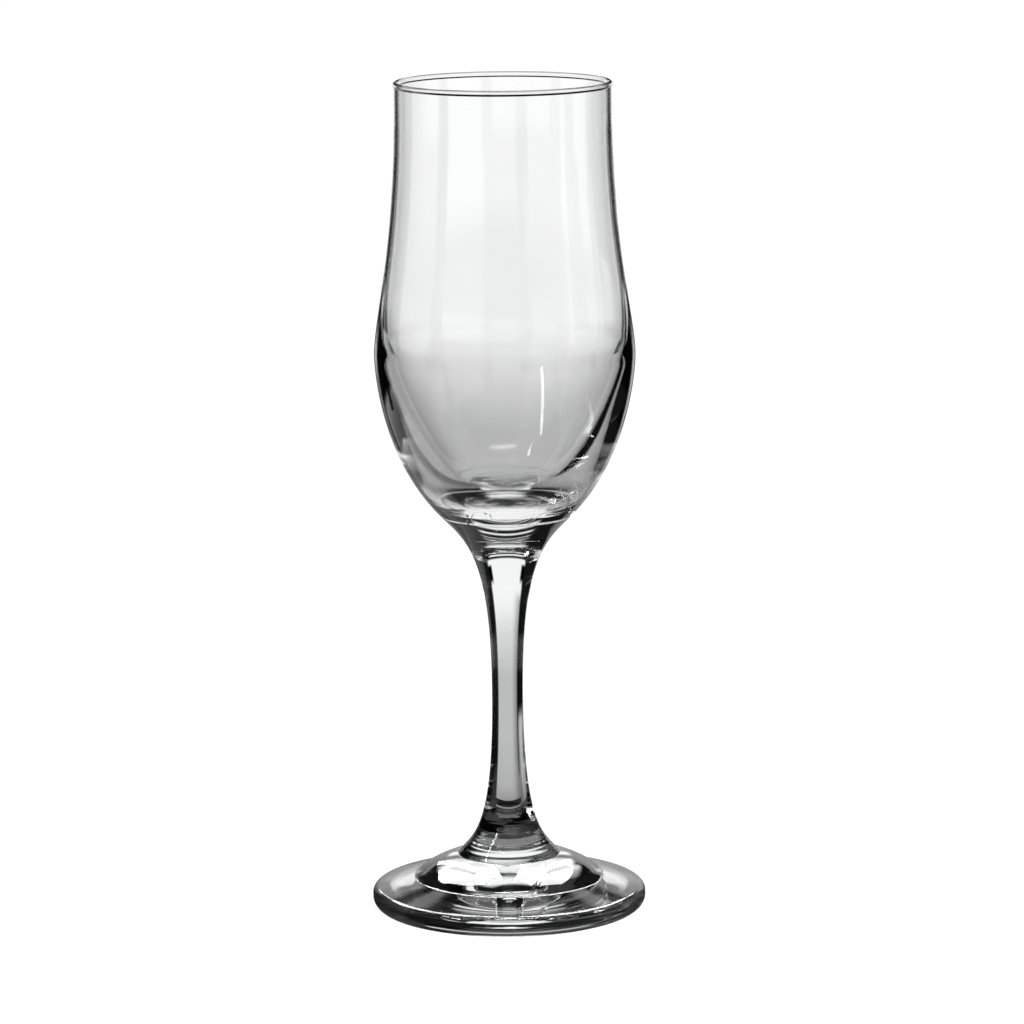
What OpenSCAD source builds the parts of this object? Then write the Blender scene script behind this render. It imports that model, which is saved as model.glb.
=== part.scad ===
// Sherry glass: a blown tulip bowl on a pressed stem and a pressed, stepped foot.
// Millimetres, +Z up. The origin is the middle of the circle that the foot stands on.
// The three pieces are fused face to face at two level seams.

/* [Foot] */
// Diameter of the foot across its edge
foot_d = 66; // [60:0.5:74]
// Height of the foot's edge above the table, before its corners are rounded
edge_h = 4.9; // [4.6:0.1:6.2]
// Radius between the foot's side and its underside
edge_low_round = 2.7; // [1.5:0.1:2.9]
// Radius between the foot's side and its top
edge_top_round = 1.8; // [0.8:0.1:2]
// Rise of the sloping apron, from the edge to the mound
apron_rise = 2.7; // [1.2:0.1:3.2]
// Diameter of the mound where it leaves the apron
mound_d = 45.4; // [40:0.2:50]
// Radius of the hollow corner between apron and mound
mound_fillet = 1.2; // [0.6:0.1:1.6]
// Height of the mound's top above the table
mound_h = 13; // [11.5:0.1:15]
// Width of the flat ring that the foot stands on
ring_w = 2.6; // [1.5:0.1:4]
// Height of the hollow under the foot, at its middle
hollow_h = 1.8; // [0.8:0.1:2.6]

/* [Stem] */
// Length of the stem, from the mound to the bowl
stem_h = 83; // [70:0.5:100]
// Diameter of the stem's foot, where it sits on the mound
stem_foot_d = 24.6; // [20:0.2:28]
// Diameter of the stem at its waist
waist_d = 7.5; // [6.5:0.1:10]
// Height of the waist above the mound
waist_h = 39; // [30:0.5:46]
// Diameter of the seam between stem and bowl
seam_d = 31.4; // [26:0.2:34]
// Slope of the outline where stem and bowl meet, above level, in degrees
seam_slope = 45; // [40:1:50]
// Slope of the outline at the stem's foot, above level, in degrees
stem_foot_slope = 54; // [48:1:60]

/* [Bowl] */
// Height of the bowl, from its seam to the rim
bowl_h = 104; // [92:0.5:116]
// Diameter of the bowl at its belly, its widest ring
belly_d = 62.4; // [58:0.2:68]
// Height of the belly above the seam
belly_h = 39; // [34:0.5:46]
// Diameter of the bowl at its throat, just under the rim
throat_d = 51.7; // [48:0.1:56]
// Depth of the throat under the rim
throat_drop = 6; // [4:0.5:10]
// Thickness of the wall at the throat
throat_wall = 1; // [0.8:0.1:1.4]
// Thickness of the wall, from the widest ring outside to the widest ring inside
belly_wall = 2.1; // [1.6:0.1:2.8]
// Height of the inside's widest ring above the seam
inside_belly_h = 43; // [39:0.5:47]
// Diameter of the level floor inside the bowl
floor_d = 15; // [12:0.5:19]
// Thickness of the glass under that floor, down to the seam
base_t = 6.7; // [5.4:0.1:8]
// Distance that the rim's flame-rounded bead stands out past each face of the wall
bead_proud = 0.25; // [0.1:0.05:0.35]

/* [Hidden] */
clear_glass = [0.86, 0.93, 0.92, 0.55];
$fn = 96;
curve_steps = 20;
corner_steps = 6;
bead_steps = 16;

// Shares of a stretch's height that each curve's two handles reach
neck_shares = [0.55, 0.14];
cup_shares = [0.09, 0.51];
upper_stem_shares = [0.2, 0.765];
lower_stem_shares = [0.145, 0.875];
inside_neck_shares = [0.57, 0.22];
inside_cup_shares = [0.34, 0.49];
// Handles of the mound's dome, as shares of its width and of its height
mound_top_shares = [0.34, 0.15];
mound_side_shares = [0.83, 0.57];

foot_r = foot_d / 2;
mound_r = mound_d / 2;
stem_foot_r = stem_foot_d / 2;
waist_r = waist_d / 2;
seam_r = seam_d / 2;
belly_r = belly_d / 2;
throat_r = throat_d / 2;
bead_r = throat_wall / 2 + bead_proud;
floor_r = floor_d / 2;

apron_top_z = edge_h + apron_rise;
waist_z = mound_h + waist_h;
seam_z = mound_h + stem_h;
belly_z = seam_z + belly_h;
rim_z = seam_z + bowl_h;
throat_z = rim_z - throat_drop;
floor_z = seam_z + base_t;

// Points of a cubic curve from a to d, with handles b and c
function curve(a, b, c, d, steps = curve_steps) =
    [for (i = [0 : steps])
        let (t = i / steps, s = 1 - t)
        s * s * s * a + 3 * s * s * t * b + 3 * s * t * t * c + t * t * t * d];

// Points of a curve that leaves a straight down and reaches b from straight above
function plumb_curve(a, b, shares) =
    let (drop = a.y - b.y)
    curve(a, a - [0, shares[0] * drop], b + [0, shares[1] * drop], b);

function ray(slope, reach) = reach * [cos(slope), sin(slope)];

function unit(v) = v / norm(v);

// Points of an arc that rounds corner b between a and c
function rounded(a, b, c, radius) =
    let (
        u = unit(a - b),
        v = unit(c - b),
        half = acos(u * v) / 2,
        middle = b + unit(u + v) * radius / sin(half),
        start = b + u * radius / tan(half) - middle,
        finish = b + v * radius / tan(half) - middle,
        turn = sign(cross(start, finish)) * (180 - 2 * half),
        from = atan2(start.y, start.x)
    )
    [for (i = [0 : corner_steps])
        middle + ray(from + turn * i / corner_steps, radius)];

// The underside's shallow dome, from the middle out to the ring
function hollow_outline() =
    let (
        reach = foot_r - edge_low_round - ring_w,
        sphere_r = (reach * reach + hollow_h * hollow_h) / (2 * hollow_h)
    )
    [for (i = [0 : curve_steps])
        let (r = reach * i / curve_steps)
        [r, hollow_h - sphere_r + sqrt(sphere_r * sphere_r - r * r)]];

// The mound's dome, from its foot on the apron up to the stem
function mound_outline() =
    let (
        low = [mound_r, apron_top_z],
        span = [stem_foot_r - mound_r, mound_h - apron_top_z],
        high = low + span,
        side = high - [mound_side_shares[0] * span.x, mound_side_shares[1] * span.y],
        top = high - [mound_top_shares[0] * span.x, mound_top_shares[1] * span.y]
    )
    curve(low, side, top, high, curve_steps / 2);

module foot() {
    apron_out = [foot_r, edge_h];
    apron_in = [mound_r, apron_top_z];
    mound = mound_outline();
    after_fillet = [for (i = [1 : len(mound) - 1]) mound[i]];
    color(clear_glass)
        rotate_extrude()
            polygon(concat(
                hollow_outline(),
                rounded([0, 0], [foot_r, 0], apron_out, edge_low_round),
                rounded([foot_r, 0], apron_out, apron_in, edge_top_round),
                rounded(apron_out, apron_in, mound[1], mound_fillet),
                after_fillet,
                [[0, mound_h]]
            ));
}

module stem() {
    foot_ring = [stem_foot_r, mound_h];
    waist = [waist_r, waist_z];
    seam_ring = [seam_r, seam_z];
    foot_reach = lower_stem_shares[0] * waist_h;
    seam_reach = upper_stem_shares[0] * (stem_h - waist_h);
    color(clear_glass)
        rotate_extrude()
            polygon(concat(
                [[0, mound_h]],
                curve(
                    foot_ring,
                    foot_ring + ray(180 - stem_foot_slope, foot_reach),
                    waist - [0, lower_stem_shares[1] * waist_h],
                    waist
                ),
                curve(
                    waist,
                    waist + [0, upper_stem_shares[1] * (stem_h - waist_h)],
                    seam_ring - ray(seam_slope, seam_reach),
                    seam_ring
                ),
                [[0, seam_z]]
            ));
}

// The bowl's outside, from the seam up to the throat
function bowl_outside() =
    let (
        seam_ring = [seam_r, seam_z],
        belly = [belly_r, belly_z],
        neck = plumb_curve([throat_r, throat_z], belly, neck_shares)
    )
    concat(
        curve(
            seam_ring,
            seam_ring + ray(seam_slope, cup_shares[1] * belly_h),
            belly - [0, cup_shares[0] * belly_h],
            belly
        ),
        [for (i = [1 : curve_steps]) neck[curve_steps - i]]
    );

// The bowl's inside, from the throat down to its level floor
function bowl_inside() =
    let (
        belly = [belly_r - belly_wall, seam_z + inside_belly_h],
        depth = belly.y - floor_z,
        cup = curve(
            belly,
            belly - [0, inside_cup_shares[0] * depth],
            [floor_r + inside_cup_shares[1] * (belly.x - floor_r), floor_z],
            [floor_r, floor_z]
        )
    )
    concat(
        plumb_curve([throat_r - throat_wall, throat_z], belly, inside_neck_shares),
        [for (i = [1 : curve_steps]) cup[i]],
        [[0, floor_z]]
    );

// The flame-rounded bead: a ring of round section that the wall runs into
function bead_outline() =
    let (
        middle = [throat_r - throat_wall / 2, rim_z - bead_r],
        start = -acos(throat_wall / 2 / bead_r),
        turn = 180 - 2 * start
    )
    [for (i = [0 : bead_steps]) middle + ray(start + turn * i / bead_steps, bead_r)];

module bowl() {
    color(clear_glass)
        rotate_extrude()
            polygon(concat(
                [[0, seam_z]],
                bowl_outside(),
                bead_outline(),
                bowl_inside()
            ));
}

foot();
stem();
bowl();
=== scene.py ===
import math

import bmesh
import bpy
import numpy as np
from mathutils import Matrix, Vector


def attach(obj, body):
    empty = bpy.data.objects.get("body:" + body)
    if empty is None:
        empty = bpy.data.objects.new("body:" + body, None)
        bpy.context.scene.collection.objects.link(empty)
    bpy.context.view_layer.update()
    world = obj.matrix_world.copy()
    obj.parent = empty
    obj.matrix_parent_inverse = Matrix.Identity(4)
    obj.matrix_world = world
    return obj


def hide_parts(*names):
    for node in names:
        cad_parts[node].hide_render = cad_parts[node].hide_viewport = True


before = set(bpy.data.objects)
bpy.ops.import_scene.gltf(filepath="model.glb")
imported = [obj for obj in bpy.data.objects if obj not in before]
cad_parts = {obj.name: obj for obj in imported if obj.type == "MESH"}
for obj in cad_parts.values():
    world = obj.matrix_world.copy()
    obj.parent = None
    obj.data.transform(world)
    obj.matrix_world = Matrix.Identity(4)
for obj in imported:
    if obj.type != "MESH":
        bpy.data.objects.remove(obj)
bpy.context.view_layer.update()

# %% [markdown]
# # Sherry glass
# A narrow tulip glass of clear soda-lime glass, in three pieces that were fused while hot: a blown bowl,
# a pressed stem and a pressed foot. Glass shows nothing of itself, only what it bends and mirrors, so
# this lesson turns each piece as one smooth closed skin, adds the small faults that hot glass keeps, and
# then builds the white backdrop and the dark cards that draw its edges, as a maker of pictures does for
# real glass.

MM = 0.001

# %% [markdown]
# The drawing of the glass: half of its cross-section, in millimetres, as (distance from the axis,
# height). The values are the ones that the solids were drawn with, so the dressed pieces lie exactly on
# them. A real works keeps the same numbers on the sheet from which the moulds are cut.

# %% Sizes on the maker's drawing
FOOT_R = 33
EDGE_H = 4.9
EDGE_LOW_ROUND = 2.7
EDGE_TOP_ROUND = 1.8
APRON_RISE = 2.7
MOUND_R = 22.7
MOUND_FILLET = 1.2
MOUND_H = 13
RING_W = 2.6
HOLLOW_H = 1.8
STEM_H = 83
STEM_FOOT_R = 12.3
WAIST_R = 3.75
WAIST_H = 39
SEAM_R = 15.7
SEAM_SLOPE = 45
STEM_FOOT_SLOPE = 54
BOWL_H = 104
BELLY_R = 31.2
BELLY_H = 39
THROAT_R = 25.85
THROAT_DROP = 6
THROAT_WALL = 1
BELLY_WALL = 2.1
INSIDE_BELLY_H = 43
FLOOR_R = 7.5
BASE_T = 6.7
BEAD_PROUD = 0.25

# Shares of a stretch's height that each curve's two handles reach
NECK_SHARES = (0.55, 0.14)
CUP_SHARES = (0.09, 0.51)
UPPER_STEM_SHARES = (0.2, 0.765)
LOWER_STEM_SHARES = (0.145, 0.875)
INSIDE_NECK_SHARES = (0.57, 0.22)
INSIDE_CUP_SHARES = (0.34, 0.49)
# Handles of the mound's dome, as shares of its width and of its height
MOUND_TOP_SHARES = (0.34, 0.15)
MOUND_SIDE_SHARES = (0.83, 0.57)

RING_INSIDE_R = FOOT_R - EDGE_LOW_ROUND - RING_W
APRON_TOP_Z = EDGE_H + APRON_RISE
WAIST_Z = MOUND_H + WAIST_H
SEAM_Z = MOUND_H + STEM_H
BELLY_Z = SEAM_Z + BELLY_H
RIM_Z = SEAM_Z + BOWL_H
THROAT_Z = RIM_Z - THROAT_DROP
FLOOR_Z = SEAM_Z + BASE_T
print("height", RIM_Z, "mm, seams at", MOUND_H, "and", SEAM_Z, "mm")


# %% [markdown]
# Every profile is a chain of three kinds of line: a free curve with two handles, a round that takes the
# corner off two straight runs, and a dead level or straight run. Drawn finely, they give a skin on which
# light bends without a kink; a coarse one would break every reflection into steps.

# %% Lines that a profile is drawn with
def curve(a, b, c, d, steps=64):
    """Points of a free curve from a to d that leaves towards b and arrives from c."""
    t = np.linspace(0, 1, steps + 1)[:, None]
    s = 1 - t
    return s ** 3 * a + 3 * s * s * t * b + 3 * s * t * t * c + t ** 3 * d


def point(r, z):
    return np.array((r, z), float)


def ray(slope, reach):
    turn = math.radians(slope)
    return point(math.cos(turn), math.sin(turn)) * reach


def unit(v):
    return v / np.linalg.norm(v)


def plumb_curve(a, b, shares):
    """A curve that leaves a straight down and reaches b from straight above."""
    drop = a[1] - b[1]
    return curve(a, a - point(0, shares[0] * drop), b + point(0, shares[1] * drop), b)


def straight(a, b):
    """Points between a and b, closer and closer together towards b, where the line turns sharply."""
    shares = 1 - np.geomspace(1, 0.004, 12)[1:]
    return np.array([a + (b - a) * share for share in shares])


def rounded(a, b, c, radius, steps=16):
    """Points of the arc that rounds corner b between a and c."""
    u = unit(a - b)
    v = unit(c - b)
    half = math.acos(float(u @ v)) / 2
    middle = b + unit(u + v) * radius / math.sin(half)
    start = b + u * radius / math.tan(half) - middle
    finish = b + v * radius / math.tan(half) - middle
    side = math.copysign(1, start[0] * finish[1] - start[1] * finish[0])
    first = math.degrees(math.atan2(start[1], start[0]))
    sweep = side * (180 - 2 * math.degrees(half))
    return np.array([middle + ray(first + sweep * i / steps, radius) for i in range(steps + 1)])


print("a round of 1 mm has", len(rounded(point(0, 0), point(9, 0), point(9, 9), 1)), "points")


# %% [markdown]
# The bowl is blown: a gather of glass is swollen in a mould, so its outside follows the mould while its
# inside finds its own shape. That is why the inside is a separate curve, thin at the throat and
# thickening smoothly below the belly into the heavy base. The rim is cracked off and melted back in a
# flame, which draws it into a bead, slightly thicker than the wall it closes.

# %% Profile of the bowl
BEAD_STEPS = 32
FLOOR_STEPS = 16


def bowl_outside():
    seam_ring = point(SEAM_R, SEAM_Z)
    belly = point(BELLY_R, BELLY_Z)
    cup = curve(
        seam_ring,
        seam_ring + ray(SEAM_SLOPE, CUP_SHARES[1] * BELLY_H),
        belly - point(0, CUP_SHARES[0] * BELLY_H),
        belly,
    )
    neck = plumb_curve(point(THROAT_R, THROAT_Z), belly, NECK_SHARES)[::-1]
    return np.vstack([cup, neck[1:]])


def bowl_inside():
    throat = point(THROAT_R - THROAT_WALL, THROAT_Z)
    belly = point(BELLY_R - BELLY_WALL, SEAM_Z + INSIDE_BELLY_H)
    depth = belly[1] - FLOOR_Z
    cup = curve(
        belly,
        belly - point(0, INSIDE_CUP_SHARES[0] * depth),
        point(FLOOR_R + INSIDE_CUP_SHARES[1] * (belly[0] - FLOOR_R), FLOOR_Z),
        point(FLOOR_R, FLOOR_Z),
    )
    steps = range(1, FLOOR_STEPS + 1)
    level_floor = np.array([point(FLOOR_R * (1 - i / FLOOR_STEPS), FLOOR_Z) for i in steps])
    return np.vstack([plumb_curve(throat, belly, INSIDE_NECK_SHARES), cup[1:], level_floor])


def bead():
    """The flame-rounded bead: an arc that the wall runs into at both its ends."""
    radius = THROAT_WALL / 2 + BEAD_PROUD
    middle = point(THROAT_R - THROAT_WALL / 2, RIM_Z - radius)
    start = -math.degrees(math.acos(THROAT_WALL / 2 / radius))
    turn = 180 - 2 * start
    return np.array([middle + ray(start + turn * i / BEAD_STEPS, radius) for i in range(BEAD_STEPS + 1)])


outside = bowl_outside()
inside = bowl_inside()
rim = bead()
up_to_bead = straight(outside[-1], rim[0])
down_from_bead = straight(inside[0], rim[-1])[::-1]
bowl_line = np.vstack([outside, up_to_bead, rim, down_from_bead, inside])
print("bowl profile:", len(bowl_line), "points, widest", round(bowl_line[:, 0].max(), 2), "mm")


# %% [markdown]
# Stem and foot are pressed: a gob of glass is squeezed in iron moulds and falls solid. The stem swells
# out to meet the bowl at a slope of 45 degrees and spreads again where it was stuck to the foot. The foot
# is a thick plate with a sloping apron and a domed mound, and its underside is pressed hollow, so that it
# stands on a narrow ring and doesn't rock.

# %% Profiles of the stem and the foot
LOWER_STEM_STEPS = 160
UPPER_STEM_STEPS = 72
MOUND_STEPS = 60
HOLLOW_POINTS = 41


def stem_profile():
    foot_ring = point(STEM_FOOT_R, MOUND_H)
    waist = point(WAIST_R, WAIST_Z)
    seam_ring = point(SEAM_R, SEAM_Z)
    upper_h = STEM_H - WAIST_H
    lower = curve(
        foot_ring,
        foot_ring + ray(180 - STEM_FOOT_SLOPE, LOWER_STEM_SHARES[0] * WAIST_H),
        waist - point(0, LOWER_STEM_SHARES[1] * WAIST_H),
        waist,
        LOWER_STEM_STEPS,
    )
    upper = curve(
        waist,
        waist + point(0, UPPER_STEM_SHARES[1] * upper_h),
        seam_ring - ray(SEAM_SLOPE, UPPER_STEM_SHARES[0] * upper_h),
        seam_ring,
        UPPER_STEM_STEPS,
    )
    return np.vstack([lower, upper[1:]])


def hollow_outline():
    """The underside's shallow dome, from the middle out to the ring."""
    sphere_r = (RING_INSIDE_R ** 2 + HOLLOW_H ** 2) / (2 * HOLLOW_H)
    across = np.linspace(0, RING_INSIDE_R, HOLLOW_POINTS)
    return np.stack([across, HOLLOW_H - sphere_r + np.sqrt(sphere_r ** 2 - across ** 2)], 1)


def mound_outline():
    """The mound's dome, up to the stem; its first millimetre is left to the hollow corner."""
    low = point(MOUND_R, APRON_TOP_Z)
    high = point(STEM_FOOT_R, MOUND_H)
    span = high - low
    side = high - point(*MOUND_SIDE_SHARES) * span
    top = high - point(*MOUND_TOP_SHARES) * span
    dome = curve(low, side, top, high, MOUND_STEPS)
    return dome[np.linalg.norm(dome - low, axis=1) > 1]


def foot_profile():
    hollow = hollow_outline()
    mound = mound_outline()
    corner = point(FOOT_R, 0)
    apron_out = point(FOOT_R, EDGE_H)
    apron_in = point(MOUND_R, APRON_TOP_Z)
    low_round = rounded(point(0, 0), corner, apron_out, EDGE_LOW_ROUND)
    top_round = rounded(corner, apron_out, apron_in, EDGE_TOP_ROUND)
    fillet = rounded(apron_out, apron_in, mound[0], MOUND_FILLET)
    ring = np.linspace(hollow[-1], low_round[0], 6)[1:-1]
    apron = np.linspace(top_round[-1], fillet[0], 16)[1:-1]
    return np.vstack([hollow, ring, low_round, top_round, apron, fillet, mound])


stem_line = stem_profile()
foot_line = foot_profile()
print("stem profile:", len(stem_line), "points; foot profile:", len(foot_line), "points")


# %% [markdown]
# Turning a profile round the axis gives the piece's skin. Real glass is never quite round: before the
# skin is closed, each point is pushed in or out along the surface by a few hundredths of a millimetre, as
# the piece's own unevenness says. Each piece is closed by a level face where it is fused to the next one;
# those seam faces have a finish of their own, so that light can be let through them without bending.

# %% Turning a profile into a smooth closed skin
SPOKES = 224
FOOT_SPOKES = 320
ON_AXIS = 1e-6


def outward(line):
    """Directions at right angles to a profile, one for each of its points."""
    along = np.gradient(line, axis=0)
    across = np.stack([along[:, 1], -along[:, 0]], 1)
    return across / np.maximum(np.linalg.norm(across, axis=1), 1e-9)[:, None]


def quads_between(low, high):
    """Faces between two rings of points; a ring of one point is the skin's middle."""
    faces = []
    for i in range(max(len(low), len(high))):
        j = (i + 1) % max(len(low), len(high))
        if len(low) == 1:
            faces.append((low[0], high[j], high[i]))
        elif len(high) == 1:
            faces.append((low[i], low[j], high[0]))
        else:
            faces.append((low[i], low[j], high[j], high[i]))
    return faces


def turned(name, line, unevenness, seam_below=False, seam_above=False, spokes=SPOKES):
    """A closed skin of revolution; finish 0 is the glass, finish 1 the seam faces."""
    turns = np.arange(spokes) * 2 * math.pi / spokes
    push = outward(line)
    verts = []
    rings = []
    for k, (r, z) in enumerate(line):
        if r < ON_AXIS:
            rings.append([len(verts)])
            verts.append((0.0, 0.0, z * MM))
            continue
        swell = unevenness(r, z, turns, k)
        radii = r + push[k, 0] * swell
        heights = z + push[k, 1] * swell
        rings.append(list(range(len(verts), len(verts) + spokes)))
        verts += zip(radii * np.cos(turns) * MM, radii * np.sin(turns) * MM, heights * MM + 0 * turns)
    faces = []
    for low, high in zip(rings[:-1], rings[1:]):
        faces += quads_between(low, high)
    skin_faces = len(faces)
    if seam_below:
        faces.append(tuple(rings[0][::-1]))
    if seam_above:
        faces.append(tuple(rings[-1]))
    mesh = bpy.data.meshes.new(name)
    mesh.from_pydata([tuple(map(float, v)) for v in verts], [], faces)
    for number, face in enumerate(mesh.polygons):
        face.use_smooth = number < skin_faces
        face.material_index = 0 if number < skin_faces else 1
    piece = bpy.data.objects.new(name, mesh)
    bpy.context.scene.collection.objects.link(piece)
    print(name, len(verts), "points,", len(faces), "faces")
    return piece


print("spokes round the axis:", SPOKES, "and for the foot", FOOT_SPOKES)


# %% [markdown]
# Hot glass sets with slow waves in it. They are sums of sines round the axis, each with a depth, a count
# of waves round the glass, a start and a twist: the distance in which the wave leans by one radian. A
# fade lets them die away before the rim and the seams, where the pieces have to meet.

# %% Waves, fades and bumps
NO_TWIST = math.inf


def waves(kinds, turns, along):
    """The sum of waves (depth mm, count round the axis, start, twist mm)."""
    total = 0.0
    for depth, count, start, twist in kinds:
        total = total + depth * np.sin(count * turns + start + along / twist)
    return total


def fade(x, start, end):
    """0 up to start, 1 from end on, smooth between; also falls when end is below start."""
    t = np.clip((x - start) / (end - start), 0, 1)
    return t * t * (3 - 2 * t)


def bump(x, middle, width):
    return np.exp(-((x - middle) / width) ** 2)


def around(turns, degrees):
    """Angle from the direction that is `degrees` right of the front, wrapped to a half turn each way."""
    away = turns - math.radians(degrees - 90)
    return (away + math.pi) % (2 * math.pi) - math.pi


print("a fade from 0 to 8 mm is", round(float(fade(2, 0, 8)), 3), "at 2 mm")

# %% [markdown]
# The unevenness of the blown bowl: the outside was held by the mould and is nearly true, while the inside
# was shaped by breath and waves slightly round the glass and up its wall. The thick floor set last, and
# there the surface crept into a slow ripple, which is why a real bowl's base never looks the same twice.

# %% The bowl
MOULD_WAVES = ((0.002, 5, 0, 9),)
BREATH_WAVES = ((0.014, 2, 0.8, 40), (0.006, 3, 2.1, -25), (0.0015, 7, 0, 11), (0.001, 11, 0, -7))
SEAM_CALM = 8
RIM_CALM = (3, 16)
INSIDE_CALM = 30
FLOOR_CALM = (2, FLOOR_R + 3)
MIDDLE_CALM = (0, 1)
RIPPLE_DEPTH = 0.045
RIPPLE_R = (15, 11)
# Each of the floor's ripples: radians per millimetre across and along, and its start
FLOOR_RIPPLES = (
    (1.5, 0.4, 0.3), (-0.6, 1.7, 1.9), (1.1, -1.6, 4.4), (2.4, 1.2, 2.2), (-2.2, 2.0, 5.6), (0.3, 2.9, 0.8),
)
INSIDE_STARTS = int(np.argmax(bowl_line[:, 1])) + BEAD_STEPS // 2


def ripple(x, y):
    """Slow waves across a surface, between about -1 and 1, as chilled glass keeps them."""
    parts = [np.sin(a * x + b * y + start) / math.hypot(a, b) for a, b, start in FLOOR_RIPPLES]
    return sum(parts) / 1.7


def blown_unevenness(r, z, turns, k):
    if k < INSIDE_STARTS:
        calm = fade(z, SEAM_Z, SEAM_Z + SEAM_CALM) * fade(z, RIM_Z - RIM_CALM[0], RIM_Z - RIM_CALM[1])
        return calm * waves(MOULD_WAVES, turns, z)
    calm = fade(z, THROAT_Z, THROAT_Z - INSIDE_CALM) * fade(r, *FLOOR_CALM)
    on_floor = fade(r, *RIPPLE_R) * fade(r, *MIDDLE_CALM)
    floor_ripple = on_floor * ripple(r * np.cos(turns), r * np.sin(turns))
    return calm * waves(BREATH_WAVES, turns, z) + RIPPLE_DEPTH * floor_ripple


bowl = turned("bowl_glass", bowl_line, blown_unevenness, seam_below=True)


# %% [markdown]
# Seeds and hairs of air. Small bubbles of gas stay in the melt and are called seeds; where the bowl was
# stuck to the stem, a little air was folded in too, and the heat drew it into curved hairs. They are real
# hollows: closed skins that face inward, inside the bowl's skin, so that light bends round them as it
# does round a bubble.

# %% Skins of a seed and of a hair
def hollow_seed(skin, middle, radii):
    made = bmesh.ops.create_icosphere(skin, subdivisions=3, radius=1)
    for v in made["verts"]:
        v.co = Vector([(m + c * r) * MM for m, c, r in zip(middle, v.co, radii)])
    bmesh.ops.reverse_faces(skin, faces=list({f for v in made["verts"] for f in v.link_faces}))


def hollow_hair(skin, handles, radius, steps=28, sides=10):
    """A thin tube along a free curve, which thins out to nothing at both ends."""
    a, b, c, d = [np.array(h, float) for h in handles]
    path = curve(a, b, c, d, steps)
    rings = []
    for k, middle in enumerate(path):
        along = unit(path[min(k + 1, steps)] - path[max(k - 1, 0)])
        side = unit(np.cross(along, (0.0, 1.0, 0.05)))
        up = np.cross(side, along)
        thick = radius * math.sqrt(max(math.sin(math.pi * (k + 0.6) / (steps + 1.2)), 0.02))
        rings.append([
            skin.verts.new((middle + thick * (math.cos(q) * side + math.sin(q) * up)) * MM)
            for q in np.arange(sides) * 2 * math.pi / sides
        ])
    skin.faces.new(rings[0])
    skin.faces.new(rings[-1][::-1])
    for low, high in zip(rings[:-1], rings[1:]):
        for i in range(sides):
            j = (i + 1) % sides
            skin.faces.new((low[i], high[i], high[j], low[j]))


print("seeds and hairs face inward, so their volume is taken away from the glass")

# %% [markdown]
# Where they lie: two seeds one above the other at the left of the base, a long one at its right, and
# hairs between them, with specks round about and a few seeds in the half that faces away. Each place is
# given in millimetres, with the seed's half-sizes or the hair's handles and half its thickness.

# %% Seeds and drawn-out air in the bowl's base
SEEDS = (
    ((-8.0, -9.5, 99.9), (0.36, 0.36, 0.42)),
    ((-8.2, -9.3, 98.1), (0.33, 0.33, 0.45)),
    ((13.9, -7.6, 100.6), (0.62, 0.5, 1.0)),
    ((-4.0, -8.4, 101.2), (0.3, 0.3, 0.22)),
    ((-3.1, -9.6, 100.5), (0.18, 0.18, 0.3)),
    ((5.6, -7.5, 99.4), (0.14, 0.14, 0.14)),
    ((3.0, -10.8, 98.7), (0.12, 0.12, 0.12)),
    ((-1.2, 6.5, 99.3), (0.2, 0.2, 0.26)),
    ((9.6, 7.2, 100.2), (0.24, 0.24, 0.3)),
    ((-11.0, 5.5, 101.0), (0.2, 0.2, 0.35)),
)
AIR_HAIRS = (
    (((-6.2, -9.4, 101.0), (-7.2, -9.6, 100.4), (-7.4, -9.6, 98.6), (-6.9, -9.6, 96.9)), 0.13),
    (((-4.6, -9.0, 101.3), (-2.6, -9.6, 101.9), (-3.6, -9.8, 99.8), (-2.4, -10.0, 99.0)), 0.09),
    (((3.6, -9.4, 98.0), (5.8, -9.2, 98.4), (6.4, -9.0, 100.4), (7.8, -8.6, 100.9)), 0.1),
    (((0.8, -10.0, 97.8), (3.4, -9.8, 98.2), (5.0, -9.6, 99.0), (5.6, -9.2, 100.6)), 0.07),
)

skin = bmesh.new()
for middle, radii in SEEDS:
    hollow_seed(skin, middle, radii)
for handles, radius in AIR_HAIRS:
    hollow_hair(skin, handles, radius)
for face in skin.faces:
    face.smooth = True
air = bpy.data.meshes.new("air")
skin.to_mesh(air)
print("air hollows' volume (must be below zero):", skin.calc_volume(signed=True) / MM ** 3, "mm3")
skin.free()
bowl_skin = bmesh.new()
bowl_skin.from_mesh(bowl.data)
bowl_skin.from_mesh(air)
bowl_skin.to_mesh(bowl.data)
bowl_skin.free()
bpy.data.meshes.remove(air)


# %% [markdown]
# The pressed stem. Where it was stuck to the foot, the hot glass crept in small steps and left fine
# rings, and the tool that steadied it left a few bright nicks on one side. Two hair-thin ridges run up it
# where the halves of the mould met; the flame has nearly melted them away.

# %% The stem
STEM_WAVES = ((0.015, 3, 0, 14), (0.01, 2, 0, -9))
CREEP_DEPTH = 0.02
CREEP_STEP = 1.25
CREEP_TOP = (21, 17)
CREEP_FOOT = (MOUND_H + 0.4, MOUND_H + 1.6)
LOW_CALM = (MOUND_H, MOUND_H + 1)
TOP_CALM = (SEAM_Z, SEAM_Z - 6)
RIDGE_TURNS = (64, 244)
RIDGE_HEIGHT = 0.02
RIDGE_WIDTH = 0.25
RIDGE_FROM = (30, 40)
NICK_H = 0.22
NICK_W = 0.9
# Each nick: degrees right of the front, height and depth
NICKS = (
    (-62, 25.4, 0.02), (-60, 24.4, 0.024), (-64, 23.2, 0.02), (-54, 21.8, 0.016), (-58, 21.0, 0.012),
)


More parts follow.
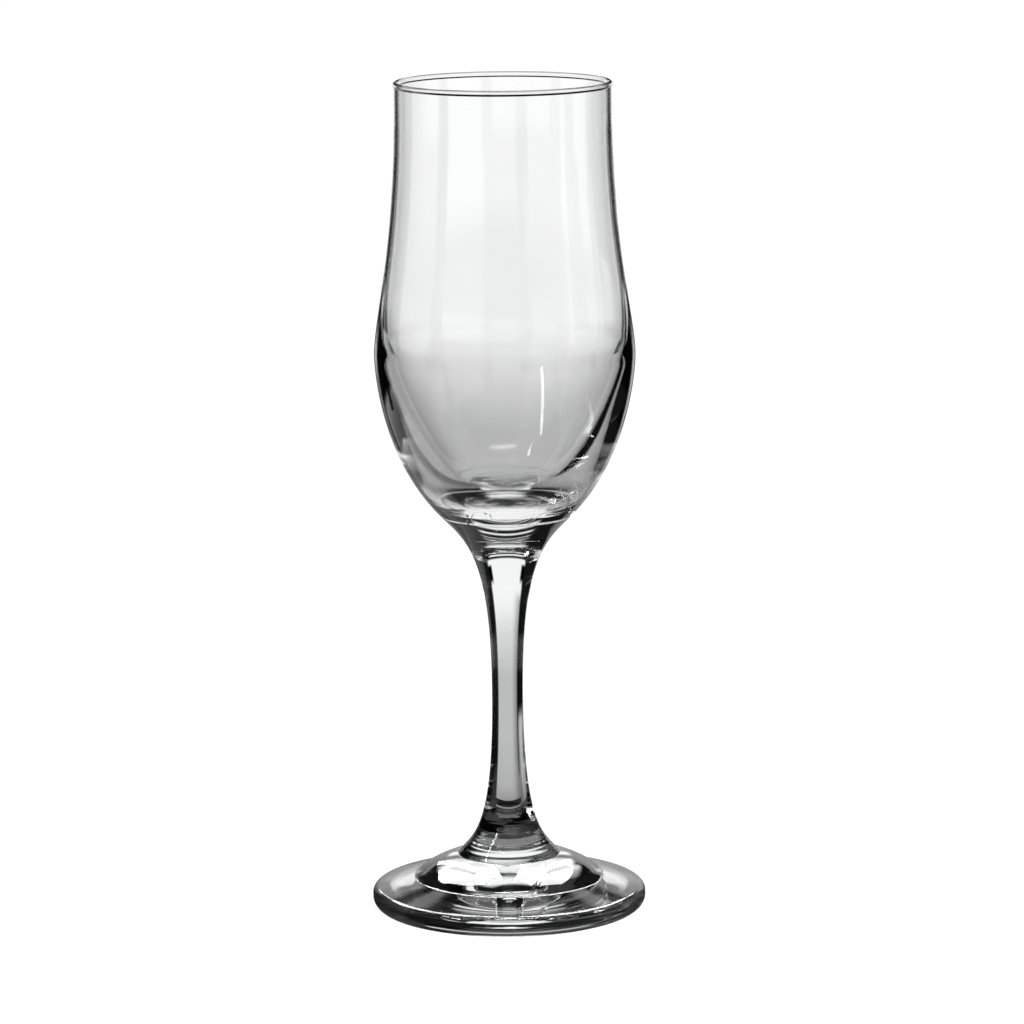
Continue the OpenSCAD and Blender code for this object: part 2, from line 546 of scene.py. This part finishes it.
def pressed_stem_unevenness(r, z, turns, k):
    calm = fade(z, *LOW_CALM) * fade(z, *TOP_CALM)
    creep = fade(z, *CREEP_TOP) * fade(z, *CREEP_FOOT)
    steps = np.cos(2 * math.pi * z / CREEP_STEP + 0.4 * np.sin(2 * turns))
    swell = creep * CREEP_DEPTH * steps + waves(STEM_WAVES, turns, z)
    for turn in RIDGE_TURNS:
        ridge = fade(z, *RIDGE_FROM) * bump(around(turns, turn) * r, 0, RIDGE_WIDTH)
        swell = swell + RIDGE_HEIGHT * ridge
    for turn, height, depth in NICKS:
        swell = swell - depth * bump(z, height, NICK_H) * bump(around(turns, turn) * r, 0, NICK_W)
    return calm * swell


stem = turned("stem_glass", stem_line, pressed_stem_unevenness, seam_below=True, seam_above=True)

# %% [markdown]
# The pressed foot. The plunger chills the top of the glass before the rest has filled the mould, which
# leaves slow swells on the mound and a fold, a short slanting crease at its right. The underside was
# polished by the flame and has only the faintest waves, but seen through the glass they give the plate
# its lively streaks.

# %% The foot
UNDERSIDE_WAVES = ((0.004, 5, 0, 6), (0.003, 8, 0, -5))
UNDERSIDE_CALM = ((27.5, 25), (2, 8))
EDGE_WAVES = ((0.004, 6, 0, NO_TWIST),)
EDGE_CALM = (0.3, 2)
MOUND_WAVES = ((0.03, 3, 0.7, NO_TWIST), (0.012, 5, 0, 4))
MOUND_CALM = (MOUND_R + 4, MOUND_R - 1)
APRON_WAVES = ((0.003, 7, 0, 3),)
FOLD_DEPTH = 0.14
FOLD_W = 0.45
FOLD_OUT_R = MOUND_R - 1.5
FOLD_IN_R = (13.5, 15)
COLLAR_CALM = (STEM_FOOT_R, STEM_FOOT_R + 1.5)
FOLD_TURN = 17
FOLD_SLANT = 2.6


def pressed_foot_unevenness(r, z, turns, k):
    if k < HOLLOW_POINTS:
        calm = fade(r, *UNDERSIDE_CALM[0]) * fade(r, *UNDERSIDE_CALM[1])
        return calm * waves(UNDERSIDE_WAVES, turns, r)
    if z < EDGE_H:
        return waves(EDGE_WAVES, turns, z) * fade(z, *EDGE_CALM)
    swell = waves(MOUND_WAVES, turns, r) * fade(r, *MOUND_CALM) + waves(APRON_WAVES, turns, r)
    fold_turn = FOLD_TURN + (FOLD_OUT_R - r) * FOLD_SLANT
    on_fold = fade(r, *FOLD_IN_R) * fade(r, MOUND_R, FOLD_OUT_R)
    swell = swell - FOLD_DEPTH * on_fold * bump(around(turns, fold_turn) * r, 0, FOLD_W)
    return fade(r, *COLLAR_CALM) * swell


foot = turned("foot_glass", foot_line, pressed_foot_unevenness, seam_above=True, spokes=FOOT_SPOKES)


# %% [markdown]
# A finish is a small tree of nodes. The bench below holds one such tree and the few joints that this
# lesson needs: a sum of two values, a slope from one value to another, the parts of a place, and a blend
# of two shaders. With it, each finish reads like a recipe.

# %% Node helpers
class Bench:
    """A node tree and the few joints that the finishes need."""

    def __init__(self, tree):
        self.tree = tree
        self.tree.nodes.clear()

    def node(self, kind, **settings):
        made = self.tree.nodes.new(kind)
        for name, value in settings.items():
            setattr(made, name, value)
        return made

    def put(self, value, socket):
        if isinstance(value, bpy.types.NodeSocket):
            self.tree.links.new(value, socket)
        else:
            socket.default_value = value

    def calc(self, operation, a, b):
        made = self.node("ShaderNodeMath", operation=operation)
        self.put(a, made.inputs[0])
        self.put(b, made.inputs[1])
        return made.outputs[0]

    def times(self, *values):
        product = values[0]
        for value in values[1:]:
            product = self.calc("MULTIPLY", product, value)
        return product

    def larger(self, a, b):
        return self.calc("MAXIMUM", a, b)

    def slope(self, value, start, end, low=0.0, high=1.0, smooth=True):
        """low where the value is start, high where it is end, and held level beyond both."""
        made = self.node("ShaderNodeMapRange")
        made.interpolation_type = "SMOOTHSTEP" if smooth else "LINEAR"
        self.put(value, made.inputs["Value"])
        self.put(start, made.inputs["From Min"])
        self.put(end, made.inputs["From Max"])
        self.put(low, made.inputs["To Min"])
        self.put(high, made.inputs["To Max"])
        return made.outputs["Result"]

    def place(self):
        return self.node("ShaderNodeTexCoord").outputs["Object"]

    def height(self, place):
        made = self.node("ShaderNodeSeparateXYZ")
        self.put(place, made.inputs[0])
        return made.outputs["Z"]

    def level(self, place):
        """The place without its height."""
        made = self.node("ShaderNodeVectorMath", operation="MULTIPLY")
        self.put(place, made.inputs[0])
        made.inputs[1].default_value = (1, 1, 0)
        return made.outputs[0]

    def length(self, place):
        made = self.node("ShaderNodeVectorMath", operation="LENGTH")
        self.put(place, made.inputs[0])
        return made.outputs["Value"]

    def direction(self, place):
        made = self.node("ShaderNodeVectorMath", operation="NORMALIZE")
        self.put(place, made.inputs[0])
        return made.outputs[0]

    def noise(self, place, scale, detail=2):
        made = self.node("ShaderNodeTexNoise")
        self.put(place, made.inputs["Vector"])
        made.inputs["Scale"].default_value = scale
        made.inputs["Detail"].default_value = detail
        return made.outputs["Fac"]

    def blend(self, share, first, second):
        made = self.node("ShaderNodeMixShader")
        self.put(share, made.inputs[0])
        self.put(first, made.inputs[1])
        self.put(second, made.inputs[2])
        return made.outputs[0]

    def finish(self, surface, world=False):
        made = self.node("ShaderNodeOutputWorld" if world else "ShaderNodeOutputMaterial")
        self.put(surface, made.inputs["Surface"])


def new_finish(name):
    material = bpy.data.materials.new(name)
    material.use_nodes = True
    return material, Bench(material.node_tree)


print("finishes so far:", len(bpy.data.materials))

# %% [markdown]
# Two glass finishes. Both are clear soda-lime glass with an index of 1.52 and a breath of green-grey from
# the iron in the sand. The blown glass was polished by the flame, but its thick floor set last and kept a
# fine chill. The pressed glass has the faint orange-peel of the iron mould, a few dust specks on the foot
# and a worn ring to stand on. Each finish says only how rough the glass is at a place; its colour comes
# with the light.

# %% Glass finishes
GLASS_INDEX = 1.52
BLOWN_TINT = (0.996, 0.999, 0.998, 1)
PRESSED_TINT = (0.988, 0.996, 0.993, 1)
# Size and depth of the fine orange-peel on each glass, in millimetres
BLOWN_PEEL = (9, 0.01)
PRESSED_PEEL = (3, 0.008)
CHILL_R = (18, 12)
CHILL_ABOVE = (FLOOR_Z - 0.5, FLOOR_Z - 0.2)
CHILL_ROUGH = 0.16
DUST_PER_METRE = 900
DUST_PATCHES_PER_METRE = 120
DUST_ROUGH = 0.5
DUST_BELOW = (9, 7)
WORN_ROUGH = 0.1
WORN_BELOW = (0.5, 0.1)
UNDERSIDE_ROUGH = 0.03
UNDERSIDE_STARTS = (18, 23)
UNDERSIDE_ENDS = (RING_INSIDE_R + 0.5, RING_INSIDE_R - 0.1)
UNDERSIDE_BELOW = (3, 2.6)


def slope_mm(bench, value, start_and_end, low=0.0, high=1.0):
    """A slope between two lengths that are given in millimetres."""
    start, end = start_and_end
    return bench.slope(value, start * MM, end * MM, low, high)


def chilled_floor(bench, place):
    """Roughness of the blown glass: a chill in the middle of the bowl's inner floor."""
    out = bench.length(bench.level(place))
    chill = slope_mm(bench, out, CHILL_R, 0, CHILL_ROUGH)
    return bench.times(chill, slope_mm(bench, bench.height(place), CHILL_ABOVE))


def dust(bench, place):
    """1 on scattered specks of dust that lie on the foot, 0 elsewhere."""
    dots = bench.node("ShaderNodeTexVoronoi")
    bench.put(place, dots.inputs["Vector"])
    dots.inputs["Scale"].default_value = DUST_PER_METRE
    speck = bench.slope(dots.outputs["Distance"], 0.05, 0.09, 1, 0)
    patch = bench.slope(bench.noise(place, DUST_PATCHES_PER_METRE), 0.58, 0.66)
    return bench.times(speck, patch, slope_mm(bench, bench.height(place), DUST_BELOW))


def worn_foot(bench, place):
    """Roughness of the pressed glass: dust, the worn ring, and the outer part of the hollow underside."""
    out = bench.length(bench.level(place))
    height = bench.height(place)
    ring = slope_mm(bench, height, WORN_BELOW, 0, WORN_ROUGH)
    underside = bench.times(
        slope_mm(bench, out, UNDERSIDE_ENDS),
        slope_mm(bench, out, UNDERSIDE_STARTS),
        slope_mm(bench, height, UNDERSIDE_BELOW, 0, UNDERSIDE_ROUGH),
    )
    return bench.larger(bench.times(dust(bench, place), DUST_ROUGH), bench.larger(underside, ring))


def clear_glass(name, tint, peel, roughness):
    """Clear glass with a fine orange-peel, and a roughness that depends on the place."""
    material, bench = new_finish(name)
    place = bench.place()
    shader = bench.node("ShaderNodeBsdfPrincipled")
    shader.inputs["Base Color"].default_value = tint
    shader.inputs["Transmission Weight"].default_value = 1
    shader.inputs["IOR"].default_value = GLASS_INDEX
    peel_size, peel_depth = peel
    relief = bench.node("ShaderNodeBump")
    relief.inputs["Strength"].default_value = 1
    relief.inputs["Distance"].default_value = peel_depth * MM
    bench.put(bench.noise(place, 1 / (peel_size * MM), 1), relief.inputs["Height"])
    bench.put(relief.outputs["Normal"], shader.inputs["Normal"])
    bench.put(roughness(bench, place), shader.inputs["Roughness"])
    bench.finish(shader.outputs[0])
    return material


blown_glass = clear_glass("blown_glass", BLOWN_TINT, BLOWN_PEEL, chilled_floor)
pressed_glass = clear_glass("pressed_glass", PRESSED_TINT, PRESSED_PEEL, worn_foot)
print("index of the glass:", GLASS_INDEX)

# %% [markdown]
# The seam faces. Glass that is fused to glass has no surface left between the two, so light goes straight
# through. A plain see-through finish on those two pairs of faces does just that. Then each piece is set
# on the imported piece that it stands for.

# %% Seam finish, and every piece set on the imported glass
fused_seam, bench = new_finish("fused_seam")
bench.finish(bench.node("ShaderNodeBsdfTransparent").outputs[0])

for piece, node, slot, glass in (
    (bowl, "bowl", "blown_glass", blown_glass),
    (stem, "stem", "pressed_glass", pressed_glass),
    (foot, "foot", "pressed_glass", pressed_glass),
):
    piece.data.materials.append(glass)
    piece.data.materials.append(fused_seam)
    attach(piece, "root")
    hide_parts(node)
    print(piece.name, "stands for", node)

# %% [markdown]
# The camera stands 1.17 m in front of the glass, 0.31 m above the table, and looks 10 degrees down, which
# the ellipses of the rim and the foot give. A long lens keeps the glass tall and straight, and the camera
# is rolled by half a degree because the glass leans by that much in the picture.

# %% Camera
FOCAL_PX = 4952.8
PICTURE_PX = 1024
GLASS_AXIS_PX = 506.0
SENSOR_MM = 36
STANDS_BACK = 1.167
STANDS_HIGH = 0.3072
LOOKS_DOWN = 10.225
ROLL = -0.47

lens = bpy.data.cameras.new("long_lens")
lens.sensor_width = SENSOR_MM
lens.lens = FOCAL_PX * SENSOR_MM / PICTURE_PX
lens.clip_start = 0.05
lens.clip_end = 60
camera = bpy.data.objects.new("camera", lens)
bpy.context.scene.collection.objects.link(camera)
bpy.context.scene.camera = camera
aside = math.atan((PICTURE_PX / 2 - GLASS_AXIS_PX) / FOCAL_PX)
camera.matrix_world = (
    Matrix.Translation((0, -STANDS_BACK, STANDS_HIGH))
    @ Matrix.Rotation(-aside, 4, "Z")
    @ Matrix.Rotation(math.radians(90 - LOOKS_DOWN), 4, "X")
    @ Matrix.Rotation(math.radians(ROLL), 4, "Z")
)
bpy.context.scene.view_settings.view_transform = "Standard"
print("lens of", round(lens.lens), "mm")

# %% [markdown]
# The white room. The world is plain white for the eye and for the glass alike, at a strength of 1, and
# lights everything else at half that strength. The picture's white comes from here and from the floor's
# own colour, so that the glass itself isn't flooded with light.

# %% World
ROOM_LIGHT = 0.5

world = bpy.data.worlds.new("white_room")
bpy.context.scene.world = world
world.use_nodes = True
bench = Bench(world.node_tree)
path = bench.node("ShaderNodeLightPath")
met_glass = bench.larger(path.outputs["Is Glossy Ray"], path.outputs["Is Transmission Ray"])
shows = bench.larger(met_glass, path.outputs["Is Camera Ray"])
backdrop = bench.node("ShaderNodeBackground")
backdrop.inputs["Strength"].default_value = 1
room_light = bench.node("ShaderNodeBackground")
room_light.inputs["Strength"].default_value = ROOM_LIGHT
for background in (backdrop, room_light):
    background.inputs["Color"].default_value = (1, 1, 1, 1)
bench.finish(bench.blend(shows, room_light.outputs[0], backdrop.outputs[0]), world=True)
print("backdrop at 1, room light at", ROOM_LIGHT)


# %% [markdown]
# Glass on plain white has no edges at all, so, as for a real picture of glass, cards and films stand
# round it. They are out of the picture: only light that has met the glass comes upon them. Places round
# the glass are named as on a compass: azimuth 0 is straight behind it, 90 at its left and 180 in front,
# and the elevation is the angle above the table.

# %% Cards round the glass
def sine(degrees):
    return math.sin(math.radians(degrees))


def cosine(degrees):
    return math.cos(math.radians(degrees))


def bearing(azimuth, elevation=0.0):
    """The direction towards an azimuth and an elevation."""
    level = cosine(elevation)
    return Vector((-sine(azimuth) * level, cosine(azimuth) * level, sine(elevation)))


def toward(bench, place, azimuth):
    """Cosine of the angle, seen from above, between a place and an azimuth."""
    both = bench.node("ShaderNodeVectorMath", operation="DOT_PRODUCT")
    bench.put(bench.direction(bench.level(place)), both.inputs[0])
    both.inputs[1].default_value = bearing(azimuth)
    return both.outputs["Value"]


def new_card(name, skin, material):
    mesh = bpy.data.meshes.new(name)
    skin.to_mesh(mesh)
    skin.free()
    mesh.materials.append(material)
    card = bpy.data.objects.new(name, mesh)
    bpy.context.scene.collection.objects.link(card)
    return card


def only_for_glass(card):
    """Takes the card out of the picture: only light that has met the glass comes upon it."""
    card.visible_camera = False
    card.visible_diffuse = False
    card.visible_shadow = False


def ring_wall(skin, radius, low, high, segments):
    """An upright wall all round the glass; sizes in millimetres."""
    middle = Matrix.Translation((0, 0, (low + high) / 2 * MM))
    bmesh.ops.create_cone(skin, cap_ends=False, segments=segments, radius1=radius * MM, radius2=radius * MM,
                          depth=(high - low) * MM, matrix=middle)


def upright(skin, radius, first, last, low, high):
    """One upright face of a wall round the glass, from one azimuth to another; sizes in millimetres."""
    corners = []
    for azimuth, height in ((first, low), (last, low), (last, high), (first, high)):
        corners.append(skin.verts.new((bearing(azimuth) * radius + Vector((0, 0, height))) * MM))
    skin.faces.new(corners)


print("behind the glass:", bearing(0), "at its left:", bearing(90))

# %% [markdown]
# The black cards are one black ball, far out, with soft-edged openings through which the white room
# shows. The wide one behind the glass fills it with light, and what lies beside it gives the glass its
# dark outlines. Three more behind it stand high up, where the foot's mound and the rim bend light to. Two
# further wide openings serve the other sides that the glass is looked at from; they let through only
# light that has gone into the glass, so that they aren't mirrored on it here. Two low ones serve a look
# from above. A grey card fills the front.

# %% Black cards with white openings
CARD_BALL_R = 3
BLACK = 0.008
LOOKED_AT_FROM = (0, 90, 225)
# Each opening, in degrees: azimuth, half its width, softness of its sides, elevations of its foot and of
# its top, and softness of those; None where it goes right down
OPENINGS = (
    (0, 27, 2.5, None, 26, 2),
    (0, 31, 3, 57, 83, 1.5),
    (0, 24, 3, 42, 46, 1.5),
    (0, 24, 3, 31, 36, 1.5),
    (45, 28, 2.5, None, -20.5, 1.5),
    (45, 14.5, 2.5, None, -13, 1),
)
SIDE_OPENINGS = (
    (90, 24, 2.5, None, 10, 2),
    (225, 24, 2.5, None, 10, 2),
)
FRONT_GREY = 0.8
# Degrees from the front between which the front card fades in, for bent light and for mirrored light
FRONT_SEEN = (78, 55)
FRONT_MIRRORED = (115, 86)
FRONT_TOP = (8, 3)
FRONT_FOOT = (-7, -4)


def window(bench, place, azimuth, half, soft, foot, top, level_soft):
    """1 in an opening of the cards and 0 outside it."""
    near = toward(bench, place, azimuth)
    height = bench.height(place)
    gap = bench.slope(near, cosine(half + soft), cosine(half - soft))
    gap = bench.times(gap, bench.slope(height, sine(top + level_soft), sine(top - level_soft)))
    if foot is not None:
        gap = bench.times(gap, bench.slope(height, sine(foot - level_soft), sine(foot + level_soft)))
    return gap


black_card, bench = new_finish("black_card")
place = bench.direction(bench.place())
path = bench.node("ShaderNodeLightPath")
opening = 0.0
for side_opening in SIDE_OPENINGS:
    opening = bench.larger(opening, window(bench, place, *side_opening))
opening = bench.times(opening, path.outputs["Is Transmission Ray"])
for back_opening in OPENINGS:
    opening = bench.larger(opening, window(bench, place, *back_opening))

near = toward(bench, place, 180)
height = bench.height(place)
seen = bench.slope(near, cosine(FRONT_SEEN[0]), cosine(FRONT_SEEN[1]), BLACK, FRONT_GREY)
mirrored = bench.slope(near, cosine(FRONT_MIRRORED[0]), cosine(FRONT_MIRRORED[1]), BLACK, FRONT_GREY)
front = bench.times(
    bench.larger(seen, bench.times(mirrored, path.outputs["Is Glossy Ray"])),
    bench.slope(height, sine(FRONT_TOP[0]), sine(FRONT_TOP[1])),
    bench.slope(height, sine(FRONT_FOOT[0]), sine(FRONT_FOOT[1])),
)
dark = bench.node("ShaderNodeEmission")
bench.put(bench.larger(front, BLACK), dark.inputs["Strength"])
see_through = bench.node("ShaderNodeBsdfTransparent")
bench.finish(bench.blend(opening, dark.outputs[0], see_through.outputs[0]))

skin = bmesh.new()
bmesh.ops.create_uvsphere(skin, u_segments=64, v_segments=32, radius=CARD_BALL_R)
only_for_glass(new_card("black_cards", skin, black_card))
print("openings in the black cards:", len(OPENINGS) + len(SIDE_OPENINGS))


# %% [markdown]
# Nearer to the glass stands a ring of grey film, clear at the top and darker towards the table, with
# black flags beside each wide opening at the height of the bowl. It gives the lower half of the bowl and
# the stem their slow change from white to grey. Low down, the film is darker towards the left, as is the
# film that lies under the glass.

# %% Graded film and flags
FILM_R = 300
FILM_SEGMENTS = 384
FILM_TOP = 599.8
FLOOR_DROP = 0.2
FILM_GREY = 0.56
FILM_GREY_UP_TO = (-5, 78)
FLAG_FROM = 20.6
FLAG_TO = 32
FLAG_SOFT = 1.5
FLAG_LOW = 112
FLAG_TOP = 178
FLAG_LEVEL_SOFT = 10
LEFT_GREY = 0.45
LEFT_FROM = (8, 27)
LEFT_UP_TO = (38, 31)
LEFT_BELOW = (95, 70)


def dim_left(bench, place, share):
    """Falls from 1 to LEFT_GREY towards the left of the back, as far as `share` lets it."""
    from_middle = bench.slope(toward(bench, place, 90), sine(LEFT_FROM[0]), sine(LEFT_FROM[1]))
    to_side = bench.slope(toward(bench, place, 0), cosine(LEFT_UP_TO[0]), cosine(LEFT_UP_TO[1]))
    return bench.slope(bench.times(from_middle, to_side, share), 0, 1, 1, LEFT_GREY, smooth=False)


def flags(bench, place):
    """1 on the black flags beside the wide openings, 0 elsewhere."""
    beside = 0.0
    for azimuth in LOOKED_AT_FROM:
        near = toward(bench, place, azimuth)
        inner = bench.slope(near, cosine(FLAG_FROM - FLAG_SOFT), cosine(FLAG_FROM + FLAG_SOFT))
        outer = bench.slope(near, cosine(FLAG_TO + FLAG_SOFT), cosine(FLAG_TO - FLAG_SOFT))
        beside = bench.larger(beside, bench.times(inner, outer))
    height = bench.height(place)
    above = slope_mm(bench, height, (FLAG_LOW - FLAG_LEVEL_SOFT, FLAG_LOW + FLAG_LEVEL_SOFT))
    below = slope_mm(bench, height, (FLAG_TOP + FLAG_LEVEL_SOFT, FLAG_TOP - FLAG_LEVEL_SOFT))
    return bench.times(beside, above, below)


film, bench = new_finish("graded_film")
place = bench.place()
height = bench.height(place)
grey = bench.times(
    slope_mm(bench, height, FILM_GREY_UP_TO, FILM_GREY, 1),
    bench.calc("SUBTRACT", 1.0, flags(bench, place)),
    dim_left(bench, place, slope_mm(bench, height, LEFT_BELOW)),
)
see_through = bench.node("ShaderNodeBsdfTransparent")
bench.put(grey, see_through.inputs["Color"])
bench.finish(see_through.outputs[0])

skin = bmesh.new()
ring_wall(skin, FILM_R, -FLOOR_DROP, FILM_TOP, FILM_SEGMENTS)
only_for_glass(new_card("graded_film", skin, film))
print("graded film: radius", FILM_R, "mm")

# %% [markdown]
# Small black pieces finish what the flags begin. Strips close to the glass give the bowl its thin dark
# outline. A hoop round the foot, lower in front than behind, is what the foot's edge shows as its dark
# band. A black hat, a lid with a skirt, hangs over the mouth and draws the dark lines of the rim; it is
# small, so that the foot's mound still mirrors what hangs behind it.

# %% Black strips, hoop, lid and skirt
STRIP_R = 120
STRIP_FROM = 26
STRIP_TO = 31
STRIP_LOW = 88
HOOP_R = 33.7
HOOP_TOP = 4.5
HOOP_BACK_LOW = 5.3
HOOP_BACK_TOP = 9.5
HOOP_BACK_HALF = 24
HOOP_STEP = 3
HAT_R = 45
HAT_LOW = 203
HAT_TOP = 232
HAT_SEGMENTS = 96

strip_black, bench = new_finish("strip_black")
dull = bench.node("ShaderNodeEmission")
dull.inputs["Strength"].default_value = BLACK
bench.finish(dull.outputs[0])

strips = bmesh.new()
for azimuth in LOOKED_AT_FROM:
    for side in (-1, 1):
        near_edge = azimuth + side * STRIP_FROM
        far_edge = azimuth + side * STRIP_TO
        upright(strips, STRIP_R, near_edge, far_edge, STRIP_LOW, FLAG_TOP)

hoop = bmesh.new()
for azimuth in range(-180, 180, HOOP_STEP):
    at_back = abs(azimuth + HOOP_STEP / 2) < HOOP_BACK_HALF
    low, top = (HOOP_BACK_LOW, HOOP_BACK_TOP) if at_back else (0, HOOP_TOP)
    upright(hoop, HOOP_R, azimuth, azimuth + HOOP_STEP, low, top)

lid = bmesh.new()
top = Matrix.Translation((0, 0, HAT_TOP * MM))
bmesh.ops.create_circle(lid, cap_ends=True, radius=HAT_R * MM, segments=HAT_SEGMENTS, matrix=top)

skirt = bmesh.new()
ring_wall(skirt, HAT_R, HAT_LOW, HAT_TOP, HAT_SEGMENTS)

black_pieces = {"black_strips": strips, "black_hoop": hoop, "black_lid": lid, "black_skirt": skirt}
for name, skin in black_pieces.items():
    card = new_card(name, skin, strip_black)
    only_for_glass(card)
    print(card.name, len(card.data.polygons), "faces")

# %% [markdown]
# The floor is plain and pale, as white as the backdrop, and keeps the glass's soft shadow. Light that comes
# out of the glass and goes down finds a grey film there, as if the glass stood on something grey. Right
# under the glass the film is darker still: that is a painted contact shadow. Beyond it lies the same white
# room.

# %% Floor
FLOOR_SIZE = 4
FLOOR_GREY = (0.3, 0.3, 0.3, 1)
FLOOR_GLOW = 0.87
PAINTED_SHADOW_R = (28, 40)
PAINTED_SHADOW_GREYS = (0.045, 0.25)
# How the film under the glass gets lighter still further out: from, to and by how much
LIGHTER = ((38, 75, 0.2), (75, 150, 0.1))
FILM_EDGE = 0.03

floor_finish, bench = new_finish("pale_floor")
place = bench.place()
out = bench.length(place)
# Painted contact shadow: the film is darkest right under the glass and lightens outwards, seen only in
# light that has come through the glass.
grey = slope_mm(bench, out, PAINTED_SHADOW_R, *PAINTED_SHADOW_GREYS)
for start, end, more in LIGHTER:
    grey = bench.calc("ADD", grey, bench.slope(out, start * MM, end * MM, 0, more, smooth=False))
beyond_film = slope_mm(bench, out, (FILM_R - FILM_EDGE, FILM_R))
grey_film_with_shadow = bench.node("ShaderNodeBsdfTransparent")
grey = bench.times(grey, dim_left(bench, place, 1.0))
bench.put(bench.larger(grey, beyond_film), grey_film_with_shadow.inputs["Color"])
path = bench.node("ShaderNodeLightPath")
for_glass = bench.larger(path.outputs["Is Glossy Ray"], path.outputs["Is Transmission Ray"])
pale = bench.node("ShaderNodeBsdfDiffuse")
pale.inputs["Color"].default_value = FLOOR_GREY
glow = bench.node("ShaderNodeEmission")
glow.inputs["Strength"].default_value = FLOOR_GLOW
both = bench.node("ShaderNodeAddShader")
bench.put(pale.outputs[0], both.inputs[0])
bench.put(glow.outputs[0], both.inputs[1])
bench.finish(bench.blend(for_glass, both.outputs[0], grey_film_with_shadow.outputs[0]))

skin = bmesh.new()
bmesh.ops.create_circle(skin, cap_ends=True, radius=FLOOR_SIZE, segments=96)
floor = new_card("floor", skin, floor_finish)
floor.location.z = -FLOOR_DROP * MM
print("floor laid", FLOOR_DROP, "mm under the foot")


# %% [markdown]
# Two strips of lit white cloth hang over the glass. The one at the left is the soft upright highlight in
# the bowl and the bright spot on the nicks; the other, nearly overhead, is the thin light line on the
# foot's edge, and would only be in the way inside the glass, so light that has gone into the glass
# doesn't meet it.

# %% Strip lamps
LAMPS_AIM_AT = Vector((0, 0, 0.08))


def strip_lamp(name, one_end, other_end, distance, width, radiance):
    """A strip of lit cloth from one bearing to the other; distance and width in metres."""
    start = bearing(*one_end) * distance
    finish = bearing(*other_end) * distance
    along = (finish - start).normalized()
    away = (start + finish).normalized()
    light = bpy.data.lights.new(name, "AREA")
    light.shape = "RECTANGLE"
    light.size = (finish - start).length
    light.size_y = width
    light.energy = radiance * math.pi * light.size * light.size_y
    lamp = bpy.data.objects.new(name, light)
    bpy.context.scene.collection.objects.link(lamp)
    turned_to_glass = Matrix((along, away.cross(along), away)).transposed().to_4x4()
    lamp.matrix_world = Matrix.Translation(LAMPS_AIM_AT + (start + finish) / 2) @ turned_to_glass
    lamp.visible_camera = False
    print(name, round(light.energy, 2), "W")
    return lamp


strip_lamp("side_lamp", (136, 28), (98, 51), 1.1, 0.06, 22)
edge_lamp = strip_lamp("edge_lamp", (135, 74), (-115, 72), 1.0, 0.1, 24)
edge_lamp.visible_transmission = False

# %% [markdown]
# The broad white shine on the foot's mound is a lit cloth behind the glass and above it, mirrored in the
# dome. Its cut follows the shine: for each azimuth it hangs between two elevations, long at both sides
# and short in the middle, where the sloping apron in front of the mound would otherwise mirror it too.

# %% Lit cloth
CLOTH_GLOW = 14
# The cloth's outline: azimuth, and the elevations of its lower and upper edge
CLOTH_CUT = (
    (56, 47, 64), (48, 41, 69), (41, 37, 70), (31, 33, 66), (24, 27, 65), (18, 19, 64), (15.5, 16, 64),
    (15, 45, 65), (8, 49, 67), (0, 49, 67), (-8, 49, 67), (-14.5, 46, 66),
    (-15, 21, 66), (-19, 27, 67), (-24, 32, 69), (-31, 39, 72), (-41, 46, 74), (-56, 55, 68),
)

cloth_white, bench = new_finish("cloth_white")
lit = bench.node("ShaderNodeEmission")
lit.inputs["Strength"].default_value = CLOTH_GLOW
bench.finish(lit.outputs[0])
skin = bmesh.new()
edges = [
    (skin.verts.new(bearing(azimuth, low)), skin.verts.new(bearing(azimuth, high)))
    for azimuth, low, high in CLOTH_CUT
]
for (low, high), (next_low, next_high) in zip(edges[:-1], edges[1:]):
    skin.faces.new((low, next_low, next_high, high))
cloth = new_card("lit_cloth", skin, cloth_white)
only_for_glass(cloth)
cloth.visible_transmission = False
print("lit cloth of", len(cloth.data.polygons), "panels")

# %% [markdown]
# Light goes through many surfaces in a thick glass base before it comes out again. If its path is cut
# short, the base turns black, so the paths are allowed to be long.

# %% Paths that light may take
studio = bpy.context.scene.cycles
studio.max_bounces = 16
studio.transmission_bounces = 16
studio.glossy_bounces = 12
studio.transparent_max_bounces = 32
studio.caustics_reflective = True
studio.caustics_refractive = True
